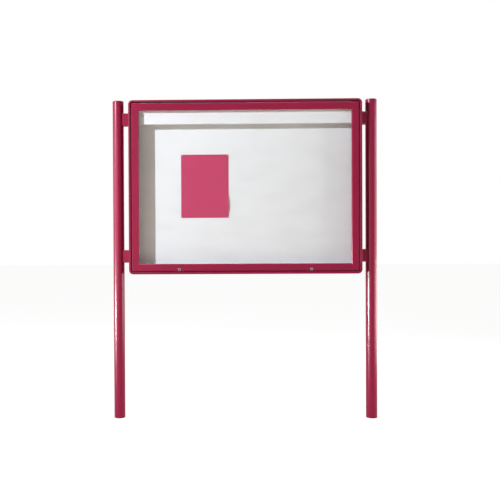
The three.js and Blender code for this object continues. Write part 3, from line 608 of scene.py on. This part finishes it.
def piece(name, body_mesh, material, body, replaced=()):
    """A new object from a bmesh, with that material, riding a CAD body; the CAD parts it replaces are
    hidden.
    """
    mesh = bpy.data.meshes.new(name)
    bmesh.ops.recalc_face_normals(body_mesh, faces=body_mesh.faces)
    for face in body_mesh.faces:
        face.smooth = True
    body_mesh.to_mesh(mesh)
    body_mesh.free()
    mesh.materials.append(materials[material])
    made = bpy.data.objects.new(name, mesh)
    bpy.context.scene.collection.objects.link(made)
    add_group(made, creased)
    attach(made, body)
    if replaced:
        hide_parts(*replaced)


def bridge(body_mesh, lower, upper):
    count = len(lower)
    for index in range(count):
        after = (index + 1) % count
        body_mesh.faces.new((lower[index], lower[after], upper[after], upper[index]))


def stack_rings(body_mesh, rings, closed=False):
    """Joins rings of points into one skin, with a cap at each end, or end to end where closed."""
    made = [[body_mesh.verts.new(point) for point in points] for points in rings]
    for lower, upper in zip(made, made[1:]):
        bridge(body_mesh, lower, upper)
    if closed:
        bridge(body_mesh, made[-1], made[0])
    else:
        body_mesh.faces.new(list(reversed(made[0])))
        body_mesh.faces.new(made[-1])


def circle(radius, height, steps):
    turns = [2 * math.pi * step / steps for step in range(steps)]
    return [Vector((radius * math.cos(turn), radius * math.sin(turn), height)) for turn in turns]


def hexagon(across, height, steps):
    """A ring of points on a hexagon of that width across its flats."""
    points = []
    for step in range(steps):
        turn = 2 * math.pi * step / steps
        from_flat = (turn % (math.pi / 3)) - math.pi / 6
        radius = across / 2 / math.cos(from_flat)
        points.append(Vector((radius * math.cos(turn), radius * math.sin(turn), height)))
    return points


def lathe(body_mesh, profile, steps, closed=False):
    """Turns a profile of radii and heights round Z."""
    stack_rings(body_mesh, [circle(radius, height, steps) for radius, height in profile], closed)


def arc_profile(centre_radius, centre_height, radius, end, steps):
    """Profile points on an arc, from the horizontal up to end, in degrees."""
    points = []
    for step in range(steps + 1):
        turn = math.radians(end * step / steps)
        points.append((centre_radius + radius * math.cos(turn), centre_height + radius * math.sin(turn)))
    return points


def turned(body_mesh, place):
    bmesh.ops.transform(body_mesh, matrix=place, verts=body_mesh.verts)
    return body_mesh


def facing(way, at):
    """A matrix that carries +Z to way, and the origin to at."""
    return Matrix.Translation(at) @ Vector(way).to_track_quat("Z", "Y").to_matrix().to_4x4()


def merged(parts):
    """One bmesh from several, so that a row of like fasteners is one piece."""
    whole = bmesh.new()
    for part in parts:
        mesh = bpy.data.meshes.new("part")
        part.to_mesh(mesh)
        part.free()
        whole.from_mesh(mesh)
        bpy.data.meshes.remove(mesh)
    return whole


def spaced(start, end, count):
    return [start + (end - start) * index / (count - 1) for index in range(count)]


# Posts and their caps, smoother than the CAD solids and of the same size
POST_WALL = 0.003
POST_EDGE = 0.0006
CAP_SEAM = 0.0003
CAP_PLUG_PLAY = 0.0003
CAP_PLUG_CHAMFER = 0.003
CAP_ROUND = 0.005
CAP_ARC = 84
CAP_ARC_STEPS = 10
CAP_CROWN = 0.0015
CROWN_SHARES = (0.8, 0.6, 0.4, 0.2)


def post(side):
    low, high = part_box(f"post_{side}")
    centre = (low + high) / 2
    outer = (high.x - low.x) / 2
    inner = outer - POST_WALL
    height = high.z - low.z
    tube = bmesh.new()
    profile = [(inner, 0), (outer - POST_EDGE, 0), (outer, POST_EDGE)]
    profile += [(outer, height - POST_EDGE), (outer - POST_EDGE, height), (inner, height)]
    lathe(tube, profile, ROUND_STEPS, closed=True)
    turned(tube, Matrix.Translation((centre.x, centre.y, low.z)))
    piece(f"post_tube_{side}", tube, "post_paint", "case", replaced=[f"post_{side}"])


def post_cap(side):
    low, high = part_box(f"post_cap_{side}")
    centre = (low + high) / 2
    outer = (high.x - low.x) / 2
    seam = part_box(f"post_{side}")[1].z + CAP_SEAM
    plug = outer - POST_WALL - CAP_PLUG_PLAY
    shoulder = high.z - CAP_CROWN
    flat = outer - CAP_ROUND
    cap = bmesh.new()
    profile = [(plug - CAP_PLUG_CHAMFER, low.z), (plug, low.z + CAP_PLUG_CHAMFER), (plug, seam)]
    profile += [(outer - POST_EDGE, seam), (outer, seam + POST_EDGE)]
    profile += arc_profile(flat, shoulder - CAP_ROUND, CAP_ROUND, CAP_ARC, CAP_ARC_STEPS)
    profile += [(flat * share, high.z - CAP_CROWN * share ** 2) for share in CROWN_SHARES]
    lathe(cap, profile, ROUND_STEPS)
    turned(cap, Matrix.Translation((centre.x, centre.y, 0)))
    piece(f"post_cap_round_{side}", cap, "post_paint", "case", replaced=[f"post_cap_{side}"])


# Notice sheet: thin card, cockled a little. Its right edge lifts near the bottom, and its corner is held
SHEET_COLUMNS = 48
SHEET_ROWS = 64
SHEET_THICKNESS = 0.0003
SHEET_COCKLE = 0.0011
SHEET_RIM_COCKLE_SHARE = 0.3
SHEET_RIM_SHARE = 0.25
SHEET_WAVES_ACROSS = 2.2
SHEET_WAVES_UP = 2.8
SHEET_WAVE_START = 3.7
SHEET_LIFT = 0.007
SHEET_LIFT_FROM_SHARE = 0.72
SHEET_LIFT_HEIGHT_SHARE = 0.2
SHEET_LIFT_SPREAD_SHARE = 0.14
SHEET_CORNER_RISE = 9


def sheet_rise(across, up):
    """How far the sheet stands off the panel, with across and up from 0 to 1."""
    # 16 makes this 1 in the middle of the sheet
    middle = 16 * across * (1 - across) * up * (1 - up)
    rim = 1 - min(across, 1 - across, up, 1 - up) / SHEET_RIM_SHARE
    wave = noise.noise(Vector((across * SHEET_WAVES_ACROSS, up * SHEET_WAVES_UP, SHEET_WAVE_START)))
    share = min(1, middle + max(0, rim) * SHEET_RIM_COCKLE_SHARE)
    cockle = SHEET_COCKLE * (0.5 + 0.5 * wave) * share
    from_lift = (up - SHEET_LIFT_HEIGHT_SHARE) / SHEET_LIFT_SPREAD_SHARE
    along = max(0, (across - SHEET_LIFT_FROM_SHARE) / (1 - SHEET_LIFT_FROM_SHARE))
    lift = SHEET_LIFT * math.exp(-from_lift ** 2) * along ** 2
    corner = min(1, SHEET_CORNER_RISE * math.hypot(1 - across, up))
    return (cockle + lift) * corner


def notice_sheet():
    low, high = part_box("notice_sheet")
    sheet = bmesh.new()
    grids = []
    for depth in (high.y, high.y - SHEET_THICKNESS):
        rows = []
        for row in range(SHEET_ROWS + 1):
            up = row / SHEET_ROWS
            line = []
            for column in range(SHEET_COLUMNS + 1):
                across = column / SHEET_COLUMNS
                x = low.x + across * (high.x - low.x)
                z = low.z + up * (high.z - low.z)
                line.append(sheet.verts.new((x, depth - sheet_rise(across, up), z)))
            rows.append(line)
        grids.append(rows)
    for rows in grids:
        for lower, upper in zip(rows, rows[1:]):
            for column in range(SHEET_COLUMNS):
                sheet.faces.new((lower[column], lower[column + 1], upper[column + 1], upper[column]))
    rims = []
    for rows in grids:
        bottom = rows[0]
        right = [line[-1] for line in rows[1:]]
        top = list(reversed(rows[-1][:-1]))
        left = [line[0] for line in reversed(rows[1:-1])]
        rims.append(bottom + right + top + left)
    bridge(sheet, rims[0], rims[1])
    piece("notice_card", sheet, "paper", "case", replaced=["notice_sheet"])


# Heads and nuts. Their outlines are shares of a radius and a height, from the seat up and inwards
PAN_OUTLINE = ((0.94, 0), (1, 0.2), (0.92, 0.65), (0.7, 0.92))
SOCKET_OUTLINE = ((1.12, 1), (1, 0.94), (1, 0.35))
SOCKET_SHARE = 0.9
RIVET_OUTLINE = ((1, 0), (0.95, 0.35), (0.78, 0.72), (0.5, 0.95), (0.28, 1), (0.2, 0.8))
NUT_CHAMFER_SHARE = 0.12
NUT_FACE_SHARE = 0.96


def pan_head(radius, height):
    """A low domed head with a hexagon socket, standing on z = 0."""
    head = bmesh.new()
    socket = radius * SOCKET_SHARE
    rings = [circle(radius * wide, height * up, SMALL_STEPS) for wide, up in PAN_OUTLINE]
    rings += [hexagon(socket * wide, height * up, SMALL_STEPS) for wide, up in SOCKET_OUTLINE]
    stack_rings(head, rings)
    return head


def rivet_head(radius, height):
    """A plain domed rivet head, standing on z = 0, with the dimple of its drawn stem."""
    head = bmesh.new()
    lathe(head, [(radius * wide, height * up) for wide, up in RIVET_OUTLINE], SMALL_STEPS)
    return head


def hex_nut(across, bore, height):
    """A chamfered nut from z = 0 to height, with its bore left open."""
    nut = bmesh.new()
    chamfer = height * NUT_CHAMFER_SHARE
    face = across * NUT_FACE_SHARE / 2
    rings = [circle(bore, 0, SMALL_STEPS), circle(face, 0, SMALL_STEPS)]
    rings += [hexagon(across, chamfer, SMALL_STEPS), hexagon(across, height - chamfer, SMALL_STEPS)]
    rings += [circle(face, height, SMALL_STEPS), circle(bore, height, SMALL_STEPS)]
    stack_rings(nut, rings, closed=True)
    return nut


# Header screws, one on each hanger strip
HEADER_SCREW_RADIUS = 0.0035
HEADER_SCREW_HEIGHT = 0.0022


def header_screw(side):
    header_low, header_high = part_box("header_panel")
    strip_low, strip_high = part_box(f"header_bracket_{side}")
    place = ((strip_low.x + strip_high.x) / 2, header_low.y, (strip_low.z + header_high.z) / 2)
    screw = turned(pan_head(HEADER_SCREW_RADIUS, HEADER_SCREW_HEIGHT), facing(FRONT, place))
    piece(f"header_screw_{side}", screw, "zinc_steel", "case")


# Weather strip: black rubber in the gap beside and below the door
STRIP_INSET = 0.0131
STRIP_WIDTH = 0.0055
STRIP_FRONT = 0.003
STRIP_BACK = 0.013
STRIP_LIP = 0.0006
STRIP_CORNER = 0.0139
STRIP_CORNER_STEPS = 12
STRIP_BELOW_TOP = 0.045


def strip_line():
    """The strip's outer line, down the left, along the bottom and up. Each point has its way inwards."""
    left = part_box("case_rail_left")[0].x + STRIP_INSET
    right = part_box("case_rail_right")[1].x - STRIP_INSET
    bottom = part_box("case_rail_bottom")[0].z + STRIP_INSET
    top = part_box("case_rail_top")[1].z - STRIP_BELOW_TOP
    line = [(left, top, 1, 0)]
    for start, centre in ((180, left + STRIP_CORNER), (270, right - STRIP_CORNER)):
        for step in range(STRIP_CORNER_STEPS + 1):
            turn = math.radians(start + 90 * step / STRIP_CORNER_STEPS)
            across = math.cos(turn)
            up = math.sin(turn)
            x = centre + STRIP_CORNER * across
            z = bottom + STRIP_CORNER + STRIP_CORNER * up
            line.append((x, z, -across, -up))
    line.append((right, top, -1, 0))
    return line


def weather_strip():
    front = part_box("case_rail_bottom")[0].y
    section = [(0, STRIP_BACK), (0, STRIP_FRONT + STRIP_LIP), (STRIP_LIP, STRIP_FRONT)]
    section += [(STRIP_WIDTH - STRIP_LIP, STRIP_FRONT), (STRIP_WIDTH, STRIP_FRONT + STRIP_LIP)]
    section += [(STRIP_WIDTH, STRIP_BACK)]
    rings = []
    for x, z, across, up in strip_line():
        rings.append([(x + across * off, front + depth, z + up * off) for off, depth in section])
    strip = bmesh.new()
    stack_rings(strip, rings)
    piece("weather_strip", strip, "gasket_rubber", "case")


# Sill: a white folded strip at the foot of the display panel, just out of sight behind the door's rail
SILL_BELOW_RAIL = 0.0125
SILL_DEPTH = 0.037
SILL_LEG = 0.016
SILL_THICKNESS = 0.0015
SILL_LIP = 0.0004
SILL_OFF_PANEL = 0.0002
SILL_END_INSET = 0.004


def panel_sill():
    low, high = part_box("back_panel")
    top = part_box("door_rail_bottom")[1].z - SILL_BELOW_RAIL
    back = low.y - SILL_OFF_PANEL
    front = back - SILL_DEPTH
    under = top - SILL_THICKNESS
    leg_front = back - SILL_THICKNESS
    section = [(front, under), (front, top - SILL_LIP), (front + SILL_LIP, top), (back, top)]
    section += [(back, top - SILL_LEG), (leg_front, top - SILL_LEG), (leg_front, under)]
    ends = (low.x + SILL_END_INSET, high.x - SILL_END_INSET)
    sill = bmesh.new()
    stack_rings(sill, [[(x, y, z) for y, z in section] for x in ends])
    piece("panel_sill", sill, "panel_white", "case")


# Spacers: grey plates round the brackets' necks, against the case
SPACER_OFF_CASE = 0.0002
SPACER_THICKNESS = 0.0034
SPACER_WITHIN = 0.0005
SPACER_HOLE_WITHIN = 0.0018
SPACER_CORNER = 0.002
SPACER_HOLE_CORNER = 0.0005
SPACER_CORNER_STEPS = 4
QUARTERS = ((1, 1, 0), (-1, 1, 90), (-1, -1, 180), (1, -1, 270))


def rounded_outline(x, low, high, within, radius):
    """A ring at x round a box's middle, smaller than its side by within, with rounded corners."""
    centre = (low + high) / 2
    half_depth = (high.y - low.y) / 2 - within
    half_height = (high.z - low.z) / 2 - within
    points = []
    for depth_sign, height_sign, start in QUARTERS:
        for step in range(SPACER_CORNER_STEPS + 1):
            turn = math.radians(start + 90 * step / SPACER_CORNER_STEPS)
            y = depth_sign * (half_depth - radius) + radius * math.cos(turn)
            z = height_sign * (half_height - radius) + radius * math.sin(turn)
            points.append((x, centre.y + y, centre.z + z))
    return points


def bracket_spacer(side, height):
    low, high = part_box(f"bracket_{side}_{height}")
    near = high.x if side == "left" else low.x
    first = near + sides[side] * SPACER_OFF_CASE
    last = first + sides[side] * SPACER_THICKNESS
    outer = (low, high, SPACER_WITHIN, SPACER_CORNER)
    hole = (low, high, SPACER_HOLE_WITHIN, SPACER_HOLE_CORNER)
    rings = [rounded_outline(first, *outer), rounded_outline(last, *outer)]
    rings += [rounded_outline(last, *hole), rounded_outline(first, *hole)]
    spacer = bmesh.new()
    stack_rings(spacer, rings, closed=True)
    piece(f"bracket_spacer_{side}_{height}", spacer, "spacer_plastic", "case")


# Nuts that hold the lock barrels, behind the door's bottom rail
LOCK_NUT_ACROSS = 0.018
LOCK_NUT_BORE = 0.0076
LOCK_NUT_HEIGHT = 0.0028
LOCK_NUT_OFF_RAIL = 0.0003


def lock_nut(side):
    low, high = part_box(f"lock_barrel_{side}")
    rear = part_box("door_rail_bottom")[1].y
    place = ((low.x + high.x) / 2, rear + LOCK_NUT_OFF_RAIL, (low.z + high.z) / 2)
    nut = turned(hex_nut(LOCK_NUT_ACROSS, LOCK_NUT_BORE, LOCK_NUT_HEIGHT), facing(BACK, place))
    piece(f"lock_nut_{side}", nut, "zinc_steel", "door")


# Lock faces: dull nickel round the keyways, darkened as a painted reflection, on the fronts of the
# turning cores
LOCK_FACE_RADIUS = 0.0055
LOCK_FACE_FRONT_SHARE = 0.96
LOCK_FACE_LIFT = 0.00005
LOCK_FACE_THICKNESS = 0.0002
KEYWAY_HALF_LENGTH = 0.0034
KEYWAY_HALF_WIDTH = 0.0009
KEYWAY_SQUARENESS = 1.4


def keyway_outline(height):
    """The rim of the hole round the keyway, with its ends rounded a little."""
    points = []
    for step in range(SMALL_STEPS):
        turn = 2 * math.pi * step / SMALL_STEPS
        along = max(-1, min(1, KEYWAY_SQUARENESS * math.cos(turn)))
        across = max(-1, min(1, KEYWAY_SQUARENESS * math.sin(turn)))
        points.append((KEYWAY_HALF_LENGTH * along, KEYWAY_HALF_WIDTH * across, height))
    return points


def lock_face(side):
    low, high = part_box(f"lock_core_{side}")
    place = ((low.x + high.x) / 2, low.y - LOCK_FACE_LIFT, (low.z + high.z) / 2)
    rings = [
        circle(LOCK_FACE_RADIUS, 0, SMALL_STEPS),
        circle(LOCK_FACE_RADIUS * LOCK_FACE_FRONT_SHARE, LOCK_FACE_THICKNESS, SMALL_STEPS),
        keyway_outline(LOCK_FACE_THICKNESS),
        keyway_outline(0),
    ]
    face = bmesh.new()
    stack_rings(face, rings, closed=True)
    turned(face, facing(FRONT, place))
    piece(f"lock_face_{side}", face, "lock_nickel", f"lock_{side}")


# Rivets round the rear cover
RIVET_RADIUS = 0.004
RIVET_HEIGHT = 0.0018
RIVET_INSET = 0.012
RIVET_SEAT = 0.002
RIVET_COLUMNS = 7
RIVET_ROWS = 5


def cover_rivets():
    low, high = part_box("rear_cover")
    seat = low.y + RIVET_SEAT
    left, right = low.x + RIVET_INSET, high.x - RIVET_INSET
    bottom, top = low.z + RIVET_INSET, high.z - RIVET_INSET
    places = [(x, seat, z) for z in (bottom, top) for x in spaced(left, right, RIVET_COLUMNS)]
    places += [(x, seat, z) for x in (left, right) for z in spaced(bottom, top, RIVET_ROWS)[1:-1]]
    rivets = [turned(rivet_head(RIVET_RADIUS, RIVET_HEIGHT), facing(BACK, place)) for place in places]
    piece("cover_rivets", merged(rivets), "zinc_steel", "case")


# Screws in the lock keepers, in the struts' plates on the case and in their flanges on the door
KEEPER_SCREW_RADIUS = 0.003
KEEPER_SCREW_HEIGHT = 0.0018
KEEPER_SCREW_OFF_MIDDLE = 0.006
KEEPER_SCREW_FROM_REAR = 0.009
KEEPER_FOOT = 0.003
PLATE_SCREW_RADIUS = 0.0026
PLATE_SCREW_HEIGHT = 0.0016
PLATE_SCREW_OFF_MIDDLE = 0.0105
PLATE_THICKNESS = 0.0025
FLANGE_SCREW_OFF_MIDDLE = 0.0145
FLANGE_SCREW_ASIDE = 0.002


def screws(name, body, radius, height, way, places):
    """A row of pan heads that look the same way, as one piece."""
    heads = [turned(pan_head(radius, height), facing(way, place)) for place in places]
    piece(name, merged(heads), "zinc_steel", body)


def keeper_screws(side):
    low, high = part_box(f"lock_keeper_{side}")
    middle = (low.x + high.x) / 2
    y = high.y - KEEPER_SCREW_FROM_REAR
    z = low.z + KEEPER_FOOT
    places = [(middle + off, y, z) for off in (-KEEPER_SCREW_OFF_MIDDLE, KEEPER_SCREW_OFF_MIDDLE)]
    screws(f"keeper_screws_{side}", "case", KEEPER_SCREW_RADIUS, KEEPER_SCREW_HEIGHT, UP, places)


def stud_screws(side):
    low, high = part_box(f"strut_stud_{side}")
    centre = (low + high) / 2
    wall = low.x + PLATE_THICKNESS if side == "left" else high.x - PLATE_THICKNESS
    offs = (-PLATE_SCREW_OFF_MIDDLE, PLATE_SCREW_OFF_MIDDLE)
    places = [(wall, centre.y + off_y, centre.z + off_z) for off_y in offs for off_z in offs]
    inwards = (-sides[side], 0, 0)
    screws(f"stud_screws_{side}", "case", PLATE_SCREW_RADIUS, PLATE_SCREW_HEIGHT, inwards, places)


def bracket_screws(side):
    low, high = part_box(f"strut_bracket_{side}")
    centre = (low + high) / 2
    x = centre.x + sides[side] * FLANGE_SCREW_ASIDE
    y = low.y + PLATE_THICKNESS
    places = [(x, y, centre.z + off) for off in (-FLANGE_SCREW_OFF_MIDDLE, FLANGE_SCREW_OFF_MIDDLE)]
    screws(f"bracket_screws_{side}", "door", PLATE_SCREW_RADIUS, PLATE_SCREW_HEIGHT, BACK, places)


def make_pieces():
    for side in sides:
        post(side)
        post_cap(side)
    notice_sheet()
    for side in sides:
        header_screw(side)
    weather_strip()
    panel_sill()
    for side in sides:
        for height in ("top", "bottom"):
            bracket_spacer(side, height)
    for side in sides:
        lock_nut(side)
    for side in sides:
        lock_face(side)
    cover_rivets()
    for side in sides:
        keeper_screws(side)
        stud_screws(side)
        bracket_screws(side)


# Stage: floor, light and camera
def make_floor():
    """Plain pale to the light. Where it is seen it glows nearly white, and still shows a shadow."""
    finish = Finish("floor", 0.8)
    finish.feed(finish.mix(finish.patches(30, 4, low=0.95), FLOOR_WORN, FLOOR), "Base Color")
    shade = finish.node("ShaderNodeBsdfDiffuse")
    shade.inputs["Color"].default_value = (FLOOR_SHARE, FLOOR_SHARE, FLOOR_SHARE, 1.0)
    glow = finish.node("ShaderNodeEmission")
    glow.inputs["Strength"].default_value = FLOOR_GLOW
    shown = finish.node("ShaderNodeAddShader")
    finish.link(shade.outputs[0], shown.inputs[0])
    finish.link(glow.outputs[0], shown.inputs[1])
    mix_shaders(finish.tree, shown_rays(finish.tree), finish.shader, shown, "Material Output")
    half = FLOOR_SIZE / 2
    mesh = bpy.data.meshes.new("floor")
    corners = [(-half, -half, 0), (half, -half, 0), (half, half, 0), (-half, half, 0)]
    mesh.from_pydata(corners, [], [(0, 1, 2, 3)])
    mesh.materials.append(finish.material)
    floor = bpy.data.objects.new("floor", mesh)
    bpy.context.scene.collection.objects.link(floor)


def make_world():
    """White where it is seen, mirrored or looked through, and a plain soft light on the object."""
    world = bpy.data.worlds.new("studio")
    world.use_nodes = True
    tree = world.node_tree
    shown = tree.nodes["Background"]
    shown.inputs["Color"].default_value = (1, 1, 1, 1)
    lighting = tree.nodes.new("ShaderNodeBackground")
    lighting.inputs["Color"].default_value = WORLD_COLOUR
    lighting.inputs["Strength"].default_value = WORLD_LIGHT
    mix_shaders(tree, shown_rays(tree), lighting, shown, "World Output")
    bpy.context.scene.world = world


def direction(azimuth, elevation):
    """The direction towards a lamp."""
    across = math.radians(azimuth)
    up = math.radians(elevation)
    return Vector((-math.sin(across) * math.cos(up), -math.cos(across) * math.cos(up), math.sin(up)))


def add_lamp(name, data, angles, distance, target):
    """A lamp that faces target from that distance, and that the camera doesn't see."""
    towards = direction(*angles)
    lamp = bpy.data.objects.new(name, data)
    lamp.matrix_world = facing(towards, Vector(target) + towards * distance)
    lamp.visible_camera = False
    bpy.context.scene.collection.objects.link(lamp)
    return lamp


def key_lamp():
    """A small lamp some way off, so that its light falls off a little across the case."""
    data = bpy.data.lights.new("key", "POINT")
    data.shadow_soft_size = KEY_RADIUS
    data.color = KEY_COLOUR
    data.energy = KEY_STRENGTH * 4 * math.pi * KEY_DISTANCE ** 2
    add_lamp("key", data, (KEY_AZIMUTH, KEY_ELEVATION), KEY_DISTANCE, KEY_TARGET)


def card(name, size, radiance, angles, distance, target):
    """A bright card. Only the cards that light give light, and the gloss shows the mirrored ones."""
    width, height = size
    data = bpy.data.lights.new(name, "AREA")
    data.shape = "RECTANGLE"
    data.size = width
    data.size_y = height
    data.energy = radiance * width * height * math.pi
    lamp = add_lamp(name, data, angles, distance, target)
    lamp.visible_diffuse = name in CARDS_THAT_LIGHT
    lamp.visible_glossy = name not in CARDS_NOT_MIRRORED


def kicker(name, angles, distance, target):
    """A narrow beam that puts a highlight on one post's leg, and gives no scattered light."""
    data = bpy.data.lights.new(name, "SPOT")
    data.shadow_soft_size = KICKER_RADIUS
    data.spot_size = math.radians(KICKER_BEAM)
    data.spot_blend = KICKER_BLEND
    data.energy = KICKER_RADIANCE * 4 * (math.pi * KICKER_RADIUS) ** 2
    lamp = add_lamp(name, data, angles, distance, target)
    lamp.visible_diffuse = False


def make_lights():
    key_lamp()
    for name, placing in CARDS.items():
        card(name, *placing)
    for name, placing in KICKERS.items():
        kicker(name, *placing)


def make_camera():
    data = bpy.data.cameras.new("camera")
    data.lens = CAMERA_LENS
    data.shift_x = CAMERA_SHIFT
    camera = bpy.data.objects.new("camera", data)
    turn = Matrix.Rotation(math.radians(-CAMERA_YAW), 4, "Z")
    tilt = Matrix.Rotation(math.radians(90 + CAMERA_PITCH), 4, "X")
    roll = Matrix.Rotation(math.radians(CAMERA_ROLL), 4, "Z")
    camera.matrix_world = Matrix.Translation(CAMERA_PLACE) @ turn @ tilt @ roll
    bpy.context.scene.collection.objects.link(camera)
    bpy.context.scene.camera = camera


make_pieces()
make_floor()
make_world()
make_lights()
make_camera()
bpy.context.scene.view_settings.view_transform = "Standard"
